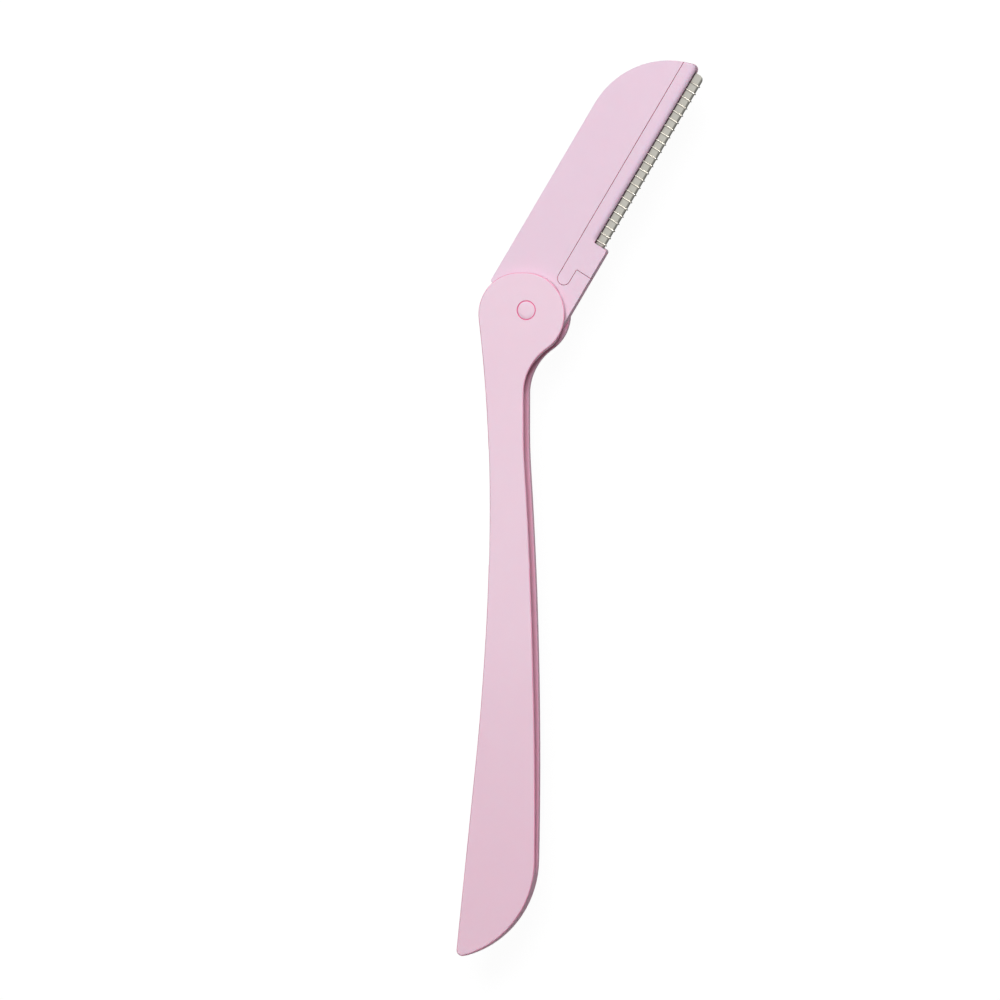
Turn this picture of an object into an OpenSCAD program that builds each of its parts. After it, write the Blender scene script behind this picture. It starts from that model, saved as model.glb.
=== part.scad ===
// Folding eyebrow razor, opened. Millimetres. The pivot axis is Z, the handle's rear face lies on Z = 0,
// and the handle's tail points along -Y. Head pieces are drawn along their own Y axis and then turned open.

/* [Handle] */
// Distance from the pivot axis to the tip of the tail
handle_reach = 111.3; // [104:0.1:120]
// Thickness of each of the two scales
scale_t = 1.2; // [1:0.1:1.6]
// Height of the slot between the scales, which the folded head lies in
slot_h = 2; // [1.8:0.1:2.4]
// Thickness of the spine wall that closes the slot along the back edge
spine_wall = 1; // [0.8:0.05:1.1]
// Length of the solid tail block that closes the slot, measured from the tail's tip
tail_block = 14.3; // [12:0.1:18]
// Distance from the pivot axis down to where the front scale begins to slope towards the tail
taper_start = 62; // [58:0.5:68]
// Slope of the front scale towards the tail, in degrees
taper_slope = 2.25; // [1.8:0.05:2.5]
// Radius of the bend where that slope begins
taper_bend_r = 250; // [150:10:300]

/* [Handle outline] */
// Radius of the round end about the pivot
lobe_r = 7.19; // [7.1:0.01:7.4]
// Distance between the middles of the round end's back arc and front arc
lobe_span = 1.1; // [0.9:0.01:1.6]
// Distance from the pivot axis down to the middle of the round end
lobe_drop = 0.68; // [0.5:0.01:0.8]
// Distance from the pivot axis to the back edge at the waist
waist_back = 6.65; // [6.5:0.05:7]
// Distance from the pivot axis down to the waist
waist_drop = 33.5; // [30:0.5:38]
// Radius of the hollow back edge above the waist
waist_upper_r = 263; // [250:1:290]
// Radius of the hollow back edge below the waist
waist_lower_r = 367; // [340:1:390]
// Slope of the straight back edge of the tail, in degrees from the handle's long axis
tail_slope = 6.75; // [5.5:0.01:7.5]
// Distance from the pivot axis back to the front edge at the neck
neck_front = 0.53; // [0.3:0.01:0.8]
// Radius of the hollow between the round end and the neck
neck_r = 9.3; // [8:0.1:10]
// Radius of the shallow hollow between the neck and the belly
hollow_r = 111; // [80:1:140]
// Distance from the pivot axis forward to the front edge at the belly
belly_front = 1.31; // [1:0.01:1.6]
// Distance from the pivot axis down to the belly
belly_drop = 77.2; // [74:0.1:80]
// Radius of the front edge along the belly
belly_r = 762; // [720:1:800]
// Radius of the round front of the tail
tail_r = 17.5; // [16:0.1:18]
// Radius of the tail's tip
tip_r = 1; // [0.8:0.05:1.3]

/* [Spine window] */
// Distance from the pivot axis down to the top of the window through the spine wall
window_drop = 23.9; // [22:0.1:26]
// Length of the window
window_len = 19.9; // [15:0.1:24]
// Depth by which the back edge of the scales is let in along the window
window_inset = 0.05; // [0.02:0.01:0.1]

/* [Handle pegs] */
// Radius of the front scale's pegs
peg_r = 0.8; // [0.6:0.05:0.9]
// Wall round each socket that takes a peg
peg_boss_wall = 0.7; // [0.5:0.05:0.9]
// Radial play of a peg in its socket
peg_play = 0.03; // [0.02:0.01:0.06]
// Distance from the pivot axis down to the peg beside the spine wall
spine_peg_drop = 64; // [60:0.5:75]
// Height of the pegs above the floor of the slot when they are seated
peg_rise = 0.3; // [0.1:0.05:0.5]

/* [Pivot] */
// Radius of the pivot pin
pin_r = 1.6; // [1.4:0.05:1.9]
// Radial play of the pin in the two scales
pin_play = 0.02; // [0.01:0.01:0.05]
// Radial play of the head on the pin
hinge_play = 0.06; // [0.03:0.01:0.08]
// Chamfer on the pin's ends and on the mouths of its bores
pin_chamfer = 0.1; // [0.05:0.01:0.15]
// Depth of the pin's ends below the scales' outer faces
pin_sink = 0.03; // [0.02:0.01:0.06]
// Gap between the head and each scale
head_gap = 0.1; // [0.08:0.01:0.15]

/* [Head] */
// Angle of the opened head from the handle's long axis
open_angle = 31.6; // [26:0.1:36]
// Distance from the head's centre line to its straight back
head_back = 8.5; // [8.3:0.01:8.8]
// Distance from the pivot axis up to the lower corner of the head's back
back_low = 0.7; // [0.5:0.05:0.9]
// Radius of the lower corner of the head's back
back_corner_r = 0.35; // [0.2:0.05:0.5]
// Distance from the pivot axis up to where the round crown begins
crown_start = 36.4; // [34:0.1:40]
// Radius of the crown
crown_r = 15.3; // [14.5:0.1:16.5]
// Radius of the corner between the crown and the blade
crown_corner_r = 1; // [0.7:0.05:1.2]
// Distance from the head's centre line to the plastic edge that covers the blade
cover_edge = 4; // [3.8:0.01:4.2]
// Distance from the head's centre line to the outer face of the heel
heel_edge = 6.62; // [6.5:0.01:6.7]
// Distance from the pivot axis up to the top of the heel
heel_top = 16; // [15:0.1:17]
// Radius of the heel's outer corner
heel_corner_r = 0.5; // [0.3:0.05:0.7]
// Radius of the inner corners of the outlines
inner_corner_r = 0.2; // [0.1:0.05:0.3]
// Distance from the heel's outer face in to the round of the tang that turns between the scales
tang_inset = 0.32; // [0.2:0.01:0.6]
// Radius of the tang's front corner
jaw_r = 2; // [1.5:0.1:2.5]
// Distance from the pivot axis up to the middle of the tang's front corner
jaw_up = 1.2; // [0.8:0.1:1.4]
// Gap between the open head and the end of the spine wall that stops it
stop_gap = 0.1; // [0.08:0.01:0.15]

/* [Blade clamp] */
// Distance from the head's centre line to the clamp's inner edge
clamp_edge = 1.47; // [1.3:0.01:1.55]
// Radius of the clamp's round lower end
tongue_r = 1.1; // [0.9:0.05:1.2]
// Distance from the pivot axis up to the clamp's lower end
tongue_low = 6.9; // [6.7:0.1:7.5]
// Distance from the pivot axis up to the lower side of the heel
heel_low = 10.5; // [10:0.1:11]
// Gap all round between the clamp and the head's recess
clamp_gap = 0.05; // [0.03:0.01:0.08]
// Width of the clamp's shoulder that slopes down to the blade
shoulder_w = 1.8; // [1.2:0.1:2]
// Drop of the shoulder at the blade
shoulder_drop = 0.3; // [0.1:0.05:0.35]
// Radius of the clamp's locating pegs
clamp_peg_r = 0.42; // [0.35:0.01:0.45]
// Radial play of those pegs in the blade and in the head
clamp_peg_play = 0.03; // [0.02:0.01:0.05]
// Depth by which the pegs enter the head
clamp_peg_depth = 0.2; // [0.1:0.05:0.25]
// Distance from the blade's ends to the pegs
clamp_peg_inset = 1; // [0.9:0.05:1.1]

/* [Blade] */
// Width of the blade from its back to its cutting edge
blade_w = 3.3; // [3.2:0.05:3.5]
// Width of blade that stands out of the plastic
blade_out = 1.8; // [1.7:0.05:1.9]
// Thickness of the blade
blade_t = 0.4; // [0.36:0.01:0.44]
// Width of the ground bevel
grind_w = 0.38; // [0.2:0.01:0.5]
// Length of blade that the heel holds
blade_tuck = 2.9; // [2.7:0.1:3.2]
// Distance from the top of the crown's corner down to the end of the blade
blade_short = 1.05; // [0.9:0.01:1.2]
// Radius of the blade's free corner
blade_corner_r = 0.9; // [0.5:0.05:1.2]
// Play round the blade's ends and behind the wire in the clamp's pocket
pocket_play = 0.1; // [0.05:0.01:0.15]

/* [Guard wire] */
// Number of turns round the blade
turns = 23; // [16:1:24]
// Diameter of the wire
wire_d = 0.19; // [0.14:0.01:0.2]
// Play between the wire and the blade
wire_play = 0.02; // [0.02:0.005:0.03]
// Distance from the heel up to the lowest turn
wire_low = 0.6; // [0.5:0.05:0.9]
// Distance from the end of the blade down to the highest turn
wire_high = 1.75; // [1.6:0.05:2.2]

/* [Hidden] */

// Length by which a cut runs past what it cuts, and by which joined forms run into each other
overrun = 0.5;
// Gap along the seam of the two scales
seam_gap = 0.02;
// Numbers of steps along an arc of about a quarter turn and along a long shallow arc
quarter_steps = 18;
shallow_steps = 10;
round_sides = 96;
peg_sides = 48;

// Distance from the pivot axis to the end of the slot
slot_reach = handle_reach - tail_block;

// Heights of the pieces above the rear face
slot_floor = scale_t;
slot_roof = scale_t + slot_h;
handle_t = slot_roof + scale_t;
head_low = slot_floor + head_gap;
head_high = slot_roof - head_gap;
blade_mid = (head_low + head_high) / 2;
wire_r = wire_d / 2;
tail_socket_floor = scale_t / 2;
bend_r = blade_t / 2 + wire_r + wire_play;
recess_floor = blade_mid - bend_r - wire_r - wire_play;
pocket_roof = blade_mid + bend_r + wire_r + wire_play;

// Radius of the tang
tang_r = heel_edge - tang_inset;

// Lengths along the head
blade_edge = cover_edge + blade_out;
blade_back = blade_edge - blade_w;
crown_mid = [crown_r - head_back, crown_start];
corner_mid_x = cover_edge - crown_corner_r;
corner_mid_y = crown_start + sqrt(pow(crown_r - crown_corner_r, 2) - pow(corner_mid_x - crown_mid[0], 2));
blade_top = corner_mid_y + crown_corner_r - blade_short;
blade_low = heel_top - blade_tuck;
clamp_peg_x = (blade_back + cover_edge) / 2;
clamp_peg_places = [[clamp_peg_x, blade_low + clamp_peg_inset], [clamp_peg_x, blade_top - clamp_peg_inset]];

// The wire's loop: straight runs between two bends, the inner one at the blade's back
wire_back_share = 0.5;
wire_inner = bend_r - wire_r;
wire_back = blade_back + wire_back_share * sqrt(wire_inner * wire_inner - blade_t * blade_t / 4);
wire_front = blade_edge - blade_t / 2;
wire_first = heel_top + wire_low;
wire_last = blade_top - wire_high;
wire_pitch = (wire_last - wire_first) / (turns - 1);
pocket_edge = wire_back - bend_r - wire_r - pocket_play;

// Points along an arc from angle a to angle b about the point c
function arc(c, r, a, b, steps) =
  [for (i = [0 : steps]) c + r * [cos(a + (b - a) * i / steps), sin(a + (b - a) * i / steps)]];

// All the points but the first, for an arc that starts where the one before it ends
function after_first(points) = [for (i = [1 : len(points) - 1]) points[i]];

// Angle of the direction from the point p to the point q
function heading(p, q) = atan2(q[1] - p[1], q[0] - p[0]);

// Where two circles cross, on the left of the way from the first middle to the second
function crossing(p, rp, q, rq) =
  let (d = norm(q - p), along = (d * d + rp * rp - rq * rq) / (2 * d), across = sqrt(rp * rp - along * along),
       way = (q - p) / d)
  p + along * way + across * [-way[1], way[0]];

// A closed outline that runs anticlockwise, drawn in by the distance d
function drawn_in(outline, d) =
  let (n = len(outline))
  [for (i = [0 : n - 1])
    let (way = outline[(i + 1) % n] - outline[(i + n - 1) % n])
    outline[i] + d / norm(way) * [-way[1], way[0]]];

// Middles of the arcs that make the handle's outline, each tangent to its neighbours
lobe_y = -lobe_drop;
upper_mid = [-waist_back - waist_upper_r, -waist_drop];
lower_mid = [-waist_back - waist_lower_r, -waist_drop];
lobe_left_x = upper_mid[0] + sqrt(pow(waist_upper_r + lobe_r, 2) - pow(waist_drop - lobe_drop, 2));
lobe_left_mid = [lobe_left_x, lobe_y];
lobe_right_mid = [lobe_left_x + lobe_span, lobe_y];
neck_mid_x = neck_r - neck_front;
neck_mid_y = lobe_y - sqrt(pow(lobe_r + neck_r, 2) - pow(neck_mid_x - lobe_right_mid[0], 2));
neck_mid = [neck_mid_x, neck_mid_y];
belly_mid = [belly_front - belly_r, -belly_drop];
hollow_mid_x = hollow_r - neck_front;
hollow_mid_y = -belly_drop + sqrt(pow(belly_r + hollow_r, 2) - pow(hollow_mid_x - belly_mid[0], 2));
hollow_mid = [hollow_mid_x, hollow_mid_y];

// The straight back edge of the tail and the tip's arc, which touches it
tail_way = [-sin(tail_slope), -cos(tail_slope)];
tail_in = [cos(tail_slope), -sin(tail_slope)];
tail_line_start = lower_mid + waist_lower_r * tail_in;
tip_run = (tail_line_start[1] + tip_r * tail_in[1] + handle_reach - tip_r) / cos(tail_slope);
tip_mid = tail_line_start + tip_run * tail_way + tip_r * tail_in;
tail_mid = crossing(belly_mid, belly_r - tail_r, tip_mid, tail_r - tip_r);

// The outline's back edge, from the top of the round end down to the tail's straight edge
back_run = concat(
  arc(lobe_left_mid, lobe_r, 90, 180 + heading(upper_mid, lobe_left_mid), quarter_steps),
  after_first(arc(upper_mid, waist_upper_r, heading(upper_mid, lobe_left_mid), 0, shallow_steps)),
  after_first(arc(lower_mid, waist_lower_r, 0, -tail_slope, shallow_steps)));

handle_outline = concat(
  back_run,
  arc(tip_mid, tip_r, 180 - tail_slope, 360 + heading(tail_mid, tip_mid), quarter_steps),
  arc(tail_mid, tail_r, heading(tail_mid, tip_mid), heading(belly_mid, tail_mid), quarter_steps),
  arc(belly_mid, belly_r, heading(belly_mid, tail_mid), heading(belly_mid, hollow_mid), 2 * shallow_steps),
  arc(hollow_mid, hollow_r, heading(hollow_mid, belly_mid) + 360, 180, shallow_steps),
  arc(neck_mid, neck_r, 180, heading(neck_mid, lobe_right_mid), quarter_steps),
  arc(lobe_right_mid, lobe_r, heading(lobe_right_mid, neck_mid), 90, 2 * quarter_steps));

// The slot between the scales, with the spine wall's inner face along its back and open at the front
slot_back = drawn_in(handle_outline, spine_wall);
slot_end_x = tail_line_start[0] - (slot_reach + tail_line_start[1]) * tan(tail_slope)
             + spine_wall / cos(tail_slope);
slot_far_x = 2 * lobe_r;
slot_outline = concat(
  after_first([for (i = [0 : len(back_run) - 1]) slot_back[i]]),
  [[slot_end_x, -slot_reach], [slot_far_x, -slot_reach], [slot_far_x, slot_back[1][1]]]);

// Places of the pegs: one beside the spine wall and two in the tail block
spine_peg_reach = waist_lower_r + spine_wall + peg_r;
spine_peg_x = lower_mid[0] + sqrt(pow(spine_peg_reach, 2) - pow(spine_peg_drop - waist_drop, 2));
tail_peg_step = 2 * (peg_r + peg_boss_wall);
tail_peg_high = [tail_mid[0] + tail_r / 2, -slot_reach - tail_peg_step];
tail_peg_low = tail_peg_high + tail_peg_step * tail_way;
peg_places = [[spine_peg_x, -spine_peg_drop], tail_peg_high, tail_peg_low];
peg_floors = [slot_floor, tail_socket_floor, tail_socket_floor];

// How far the front scale has come down at the distance y along the handle
function taper_drop(y) = max(0, -y - taper_start) * tan(taper_slope);

// A line in side view that runs level and then bends down towards the tail
bend_start = taper_bend_r * tan(taper_slope / 2) - taper_start;
function side_line(height) = concat(
  [[slot_far_x, height]],
  arc([bend_start, height - taper_bend_r], taper_bend_r, 90, 90 + taper_slope, shallow_steps),
  [[-handle_reach - overrun, height - taper_drop(-handle_reach - overrun)]]);

// The head's outline, along its own Y axis
jaw_mid = [heel_edge - jaw_r, jaw_up];
jaw_angle = heading([0, 0], jaw_mid) - acos((tang_r - jaw_r) / norm(jaw_mid));
root_y = back_low - back_corner_r;
root_mid = [-sqrt(pow(tang_r + back_corner_r, 2) - root_y * root_y), root_y];
corner_mid = [corner_mid_x, corner_mid_y];
heel_corner_mid = [heel_edge - heel_corner_r, heel_top - heel_corner_r];
cover_corner_mid = [cover_edge + inner_corner_r, heel_top + inner_corner_r];
back_corner_mid = [back_corner_r - head_back, back_low + back_corner_r];

// The outer edge that the clamp and the head share, from the heel's face round to the crown
function shared_edge(crown_end) = concat(
  arc(heel_corner_mid, heel_corner_r, 0, 90, quarter_steps / 3),
  arc(cover_corner_mid, inner_corner_r, 270, 180, quarter_steps / 3),
  arc(corner_mid, crown_corner_r, 0, heading(crown_mid, corner_mid), quarter_steps / 2),
  arc(crown_mid, crown_r, heading(crown_mid, corner_mid), crown_end, 2 * quarter_steps));

head_outline = concat(
  shared_edge(180),
  arc(back_corner_mid, back_corner_r, 180, 270, quarter_steps / 3),
  arc(root_mid, back_corner_r, 90, heading(root_mid, [0, 0]), quarter_steps / 3),
  arc([0, 0], tang_r, 360 + heading([0, 0], root_mid), 360 + jaw_angle, 3 * quarter_steps),
  arc(jaw_mid, jaw_r, jaw_angle, 0, quarter_steps / 3));

// The clamp's outline: the shared edge, the long straight inner edge, the tongue and the heel's lower side
clamp_crown_end = 180 - acos((crown_mid[0] - clamp_edge) / crown_r);
tongue_mid = [clamp_edge + tongue_r, tongue_low + tongue_r];
tongue_corner_mid = [tongue_mid[0] + tongue_r + inner_corner_r, heel_low - inner_corner_r];
clamp_outline = concat(
  shared_edge(clamp_crown_end),
  arc(tongue_mid, tongue_r, 180, 360, quarter_steps),
  arc(tongue_corner_mid, inner_corner_r, 180, 90, quarter_steps / 3),
  [[heel_edge, heel_low]]);

// The head's recess: the clamp's inner edges with a gap, and open past the head's outer edge
recess_r = tongue_r + clamp_gap;
recess_left = clamp_edge - clamp_gap;
recess_far_x = heel_edge + crown_corner_r;
recess_far_y = blade_top + crown_r;
recess_outline = concat(
  [[recess_far_x, recess_far_y], [recess_left, recess_far_y]],
  arc(tongue_mid, recess_r, 180, 360, quarter_steps),
  [[tongue_mid[0] + recess_r, heel_low - clamp_gap], [recess_far_x, heel_low - clamp_gap]]);

// The blade's outline, with one round corner at its free end
blade_outline = concat(
  [[blade_back, blade_low], [blade_edge, blade_low]],
  arc([blade_edge - blade_corner_r, blade_top - blade_corner_r], blade_corner_r, 0, 90, quarter_steps),
  [[blade_back, blade_top]]);

// A flat form between two heights
module prism(outline, low, high) {
  translate([0, 0, low]) linear_extrude(height = high - low) polygon(outline);
}

// A round form between two heights
module disc(place, r, low, high, sides) {
  translate([place[0], place[1], low]) cylinder(r = r, h = high - low, $fn = sides);
}

// Turns the head's pieces from their own Y axis to the open place
module opened() {
  rotate([0, 0, -open_angle]) children();
}

// The bore for the pin through one scale, with a chamfered mouth at the height of the outer face
module pin_bore(low, high, mouth, way) {
  bore_r = pin_r + pin_play;
  disc([0, 0], bore_r, low - overrun, high + overrun, round_sides);
  translate([0, 0, mouth - way * pin_chamfer]) mirror([0, 0, way < 0 ? 1 : 0])
    cylinder(r1 = bore_r, r2 = bore_r + 2 * pin_chamfer, h = 2 * pin_chamfer, $fn = round_sides);
}

// Everything between such a line and the level height limit, across the whole handle
module side_form(height, limit) {
  translate([-slot_far_x, 0, 0]) rotate([90, 0, 90]) linear_extrude(height = 2 * slot_far_x)
    polygon(concat(side_line(height), [[-handle_reach - overrun, limit], [slot_far_x, limit]]));
}

// The shallow step in the back edge of the scales along the window
module window_step() {
  step_x = -waist_back + window_inset;
  translate([step_x - slot_far_x, -window_drop - window_len, -overrun])
    cube([slot_far_x, window_len, handle_t + 2 * overrun]);
}

module handle_rear_scale() {
  color("#e3cdd8") difference() {
    prism(handle_outline, 0, slot_roof + overrun);
    side_form(slot_roof - seam_gap, handle_t);
    difference() {
      prism(slot_outline, slot_floor, slot_roof + overrun);
      disc(peg_places[0], peg_r + peg_boss_wall, 0, slot_roof + 2 * overrun, round_sides);
    }
    opened() translate([-slot_far_x, back_low - stop_gap, slot_floor])
      cube([2 * slot_far_x, slot_far_x, slot_h + overrun]);
    translate([-slot_far_x, -window_drop - window_len, slot_floor])
      cube([slot_far_x, window_len, slot_h + overrun]);
    window_step();
    pin_bore(0, slot_roof, 0, -1);
    for (i = [0 : len(peg_places) - 1])
      disc(peg_places[i], peg_r + peg_play, peg_floors[i], slot_roof + overrun, peg_sides);
  }
}

module handle_front_scale() {
  color("#e3cdd8") difference() {
    union() {
      difference() {
        prism(handle_outline, overrun, handle_t + overrun);
        side_form(slot_roof, 0);
      }
      for (i = [0 : len(peg_places) - 1])
        disc(peg_places[i], peg_r, peg_floors[i] + peg_rise,
             slot_roof + scale_t / 2 - taper_drop(peg_places[i][1]), peg_sides);
    }
    side_form(handle_t, handle_t + 2 * overrun);
    window_step();
    pin_bore(slot_roof, handle_t, handle_t, 1);
  }
}

module pivot_pin() {
  straight = handle_t - 2 * pin_sink - 2 * pin_chamfer;
  color("#e8cfdb") translate([0, 0, pin_sink]) rotate_extrude($fn = round_sides)
    polygon([[0, 0], [pin_r - pin_chamfer, 0], [pin_r, pin_chamfer], [pin_r, pin_chamfer + straight],
             [pin_r - pin_chamfer, 2 * pin_chamfer + straight], [0, 2 * pin_chamfer + straight]]);
}

module head_body() {
  color("#e7d0de") opened() difference() {
    prism(head_outline, head_low, head_high);
    prism(recess_outline, recess_floor, head_high + overrun);
    disc([0, 0], pin_r + hinge_play, head_low - overrun, head_high + overrun, round_sides);
    for (place = clamp_peg_places)
      disc(place, clamp_peg_r + clamp_peg_play, recess_floor - clamp_peg_depth - clamp_peg_play,
           head_high, peg_sides);
  }
}

// What the clamp's sloping shoulder leaves out, from the heel to past the crown
module shoulder_cut() {
  shoulder_r = (shoulder_w * shoulder_w + shoulder_drop * shoulder_drop) / (2 * shoulder_drop);
  run = recess_far_y - heel_top;
  translate([cover_edge - shoulder_w, heel_top + run, head_high]) rotate([90, 0, 0]) difference() {
    translate([0, -shoulder_r / 2, 0]) cube([shoulder_r / 2, shoulder_r / 2 + overrun, run - inner_corner_r]);
    translate([0, -shoulder_r, -overrun]) cylinder(r = shoulder_r, h = run + 2 * overrun, $fn = 2 * round_sides);
  }
}

module blade_clamp() {
  color("#e4cfe0") opened() difference() {
    union() {
      difference() {
        prism(clamp_outline, recess_floor, head_high);
        translate([pocket_edge, blade_low - pocket_play, recess_floor - overrun])
          cube([blade_edge + pocket_play - pocket_edge, blade_top - blade_low + 2 * pocket_play,
                pocket_roof - recess_floor + overrun]);
      }
      for (place = clamp_peg_places)
        disc(place, clamp_peg_r, recess_floor - clamp_peg_depth, pocket_roof + wire_d, peg_sides);
    }
    shoulder_cut();
  }
}

// What the grinding of one side of the cutting edge leaves out
module grind_cut() {
  translate([blade_edge - grind_w, blade_top + overrun, 0]) rotate([90, 0, 0])
    linear_extrude(height = blade_top - blade_low + 2 * overrun)
      polygon([[0, blade_t / 2], [0, blade_t], [grind_w + overrun, blade_t], [grind_w + overrun, 0],
               [grind_w, 0]]);
}

module blade() {
  color("#c3beb2") opened() translate([0, 0, blade_mid]) difference() {
    prism(blade_outline, -blade_t / 2, blade_t / 2);
    grind_cut();
    mirror([0, 0, 1]) grind_cut();
    for (place = clamp_peg_places)
      disc(place, clamp_peg_r + clamp_peg_play, -blade_t, blade_t, peg_sides);
  }
}

// The winding: each turn runs out over the front, round the edge, back over the rear and round the back
bend_rings = 8;
run_rings = 4;
turn_rings = 2 * (bend_rings + run_rings);
wire_sides = 6;
wire_run = wire_front - wire_back;
bend_len = PI * bend_r;
climb_len = wire_run + 2 * bend_len;
wire_rings = turns * turn_rings - bend_rings;

// Share of a turn's climb at the length s behind its front run
function climb_share(s) = let (share = s / climb_len) share * share * (3 - 2 * share);

// Place across the blade, height and outward angle of ring k of a turn, and the length climbed along
function loop_station(k) =
  k <= run_rings
    ? [wire_back + wire_run * k / run_rings, bend_r, 90, 0]
    : k <= run_rings + bend_rings
      ? let (turned = 180 * (k - run_rings) / bend_rings)
        [wire_front + bend_r * sin(turned), bend_r * cos(turned), 90 - turned, bend_r * turned * PI / 180]
      : k <= 2 * run_rings + bend_rings
        ? let (gone = wire_run * (k - run_rings - bend_rings) / run_rings)
          [wire_front - gone, -bend_r, -90, bend_len + gone]
        : let (turned = 180 * (k - 2 * run_rings - bend_rings) / bend_rings)
          [wire_back - bend_r * sin(turned), -bend_r * cos(turned), -90 - turned,
           bend_len + wire_run + bend_r * turned * PI / 180];

// The wire's middle line, from the highest turn down
wire_path = [for (i = [0 : wire_rings])
  let (turn = floor(i / turn_rings), at = loop_station(i % turn_rings))
  [at[0], wire_last - wire_pitch * (turn + climb_share(at[3])), blade_mid + at[1]]];
wire_out = [for (i = [0 : wire_rings])
  let (angle = loop_station(i % turn_rings)[2]) [cos(angle), 0, sin(angle)]];

// Least gap between the wire and itself, left out along half a turn of the same bend
wire_gap = min([for (i = [0 : wire_rings - bend_rings])
  min([for (j = [i + bend_rings : min(i + 2 * turn_rings, wire_rings)]) norm(wire_path[i] - wire_path[j])])])
  - wire_d;
echo(least_gap_of_the_guard_wire_to_itself_mm = wire_gap);

module guard_wire() {
  ways = [for (i = [0 : wire_rings])
    let (way = wire_path[min(i + 1, wire_rings)] - wire_path[max(i - 1, 0)]) way / norm(way)];
  skin = [for (i = [0 : wire_rings], s = [0 : wire_sides - 1])
    let (angle = 360 * s / wire_sides, side = cross(ways[i], wire_out[i]))
    wire_path[i] + wire_r * (cos(angle) * wire_out[i] + sin(angle) * side)];
  walls = [for (i = [0 : wire_rings - 1], s = [0 : wire_sides - 1])
    let (a = i * wire_sides + s, b = i * wire_sides + (s + 1) % wire_sides)
    each [[a, a + wire_sides, b + wire_sides], [a, b + wire_sides, b]]];
  last = wire_rings * wire_sides;
  caps = [for (s = [1 : wire_sides - 2]) each [[0, s, s + 1], [last, last + s + 1, last + s]]];
  color("#e6e2d6") opened() polyhedron(points = skin, faces = concat(walls, caps), convexity = 10);
}

handle_rear_scale();
handle_front_scale();
pivot_pin();
head_body();
blade_clamp();
blade();
guard_wire();
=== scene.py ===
import math

import bmesh
import bpy
from mathutils import Matrix, Vector


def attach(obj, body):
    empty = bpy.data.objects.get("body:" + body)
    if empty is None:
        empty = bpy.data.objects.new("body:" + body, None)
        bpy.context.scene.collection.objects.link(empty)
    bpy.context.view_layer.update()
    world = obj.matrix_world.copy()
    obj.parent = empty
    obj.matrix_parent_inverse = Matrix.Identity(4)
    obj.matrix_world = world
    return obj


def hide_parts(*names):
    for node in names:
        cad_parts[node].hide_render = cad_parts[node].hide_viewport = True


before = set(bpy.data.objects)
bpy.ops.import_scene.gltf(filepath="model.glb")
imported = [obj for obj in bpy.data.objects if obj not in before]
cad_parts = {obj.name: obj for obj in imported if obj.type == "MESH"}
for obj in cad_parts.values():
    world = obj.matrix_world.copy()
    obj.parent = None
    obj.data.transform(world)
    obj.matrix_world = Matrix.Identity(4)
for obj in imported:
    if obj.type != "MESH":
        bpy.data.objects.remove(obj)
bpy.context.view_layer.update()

# Lengths are in millimetres until a finished mesh is brought to metres, and angles in degrees
MM = 0.001
OVERRUN = 0.5
WELD = 2e-4
AXIS_WELD = 1e-6
FLAT_ANGLE = 0.05
SHARP_ANGLE = 40
NORMAL_WEIGHT = 100

# Heights of the pieces above the rear face
SCALE_T = 1.2
SLOT_H = 2.0
SEAM_GAP = 0.02
HEAD_GAP = 0.1
SLOT_FLOOR = SCALE_T
SLOT_ROOF = SCALE_T + SLOT_H
HANDLE_T = SLOT_ROOF + SCALE_T
HEAD_LOW = SLOT_FLOOR + HEAD_GAP
HEAD_HIGH = SLOT_ROOF - HEAD_GAP
BLADE_MID = (HEAD_LOW + HEAD_HIGH) / 2

# Handle
HANDLE_REACH = 111.3
TAIL_BLOCK = 14.3
TAPER_START = 62.0
TAPER_SLOPE = 2.25
TAPER_BEND_R = 250.0
SPINE_WALL = 1.0
LOBE_R = 7.19
LOBE_SPAN = 1.1
LOBE_DROP = 0.68
WAIST_BACK = 6.65
WAIST_DROP = 33.5
WAIST_UPPER_R = 263
WAIST_LOWER_R = 367
TAIL_SLOPE = 6.75
NECK_FRONT = 0.53
NECK_R = 9.3
HOLLOW_R = 111
BELLY_FRONT = 1.31
BELLY_DROP = 77.2
BELLY_R = 762
TAIL_R = 17.5
TIP_R = 1.0
WINDOW_DROP = 23.9
WINDOW_LEN = 19.9
WINDOW_INSET = 0.05
PEG_R = 0.8
PEG_WALL = 0.7
PEG_PLAY = 0.03
PEG_RISE = 0.3
SPINE_PEG_DROP = 64
SCALE_ROUND = 0.3
SCALE_ROUND_STEPS = 6
INNER_ROUND = 0.08
INNER_ROUND_STEPS = 2
MOUTH_DRAFT = 0.32
MOUTH_FADE = 4.0
MOUTH_FACING_FROM = 0.75
MOUTH_FACING_FULL = 0.95

# Pivot
PIN_R = 1.6
PIN_PLAY = 0.02
HINGE_PLAY = 0.06
PIN_SINK = 0.03
PIN_CHAMFER = 0.1

# Head, along its own Y axis
OPEN_ANGLE = 31.6
HEAD_BACK = 8.5
BACK_LOW = 0.7
BACK_CORNER_R = 0.35
CROWN_START = 36.4
CROWN_R = 15.3
CROWN_CORNER_R = 1.0
COVER_EDGE = 4.0
HEEL_EDGE = 6.62
HEEL_TOP = 16.0
HEEL_CORNER_R = 0.5
INNER_CORNER_R = 0.2
TANG_R = 6.3
JAW_R = 2.0
JAW_UP = 1.2
STOP_GAP = 0.1
HEAD_ROUND = 0.3
HEAD_ROUND_STEPS = 5

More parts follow.
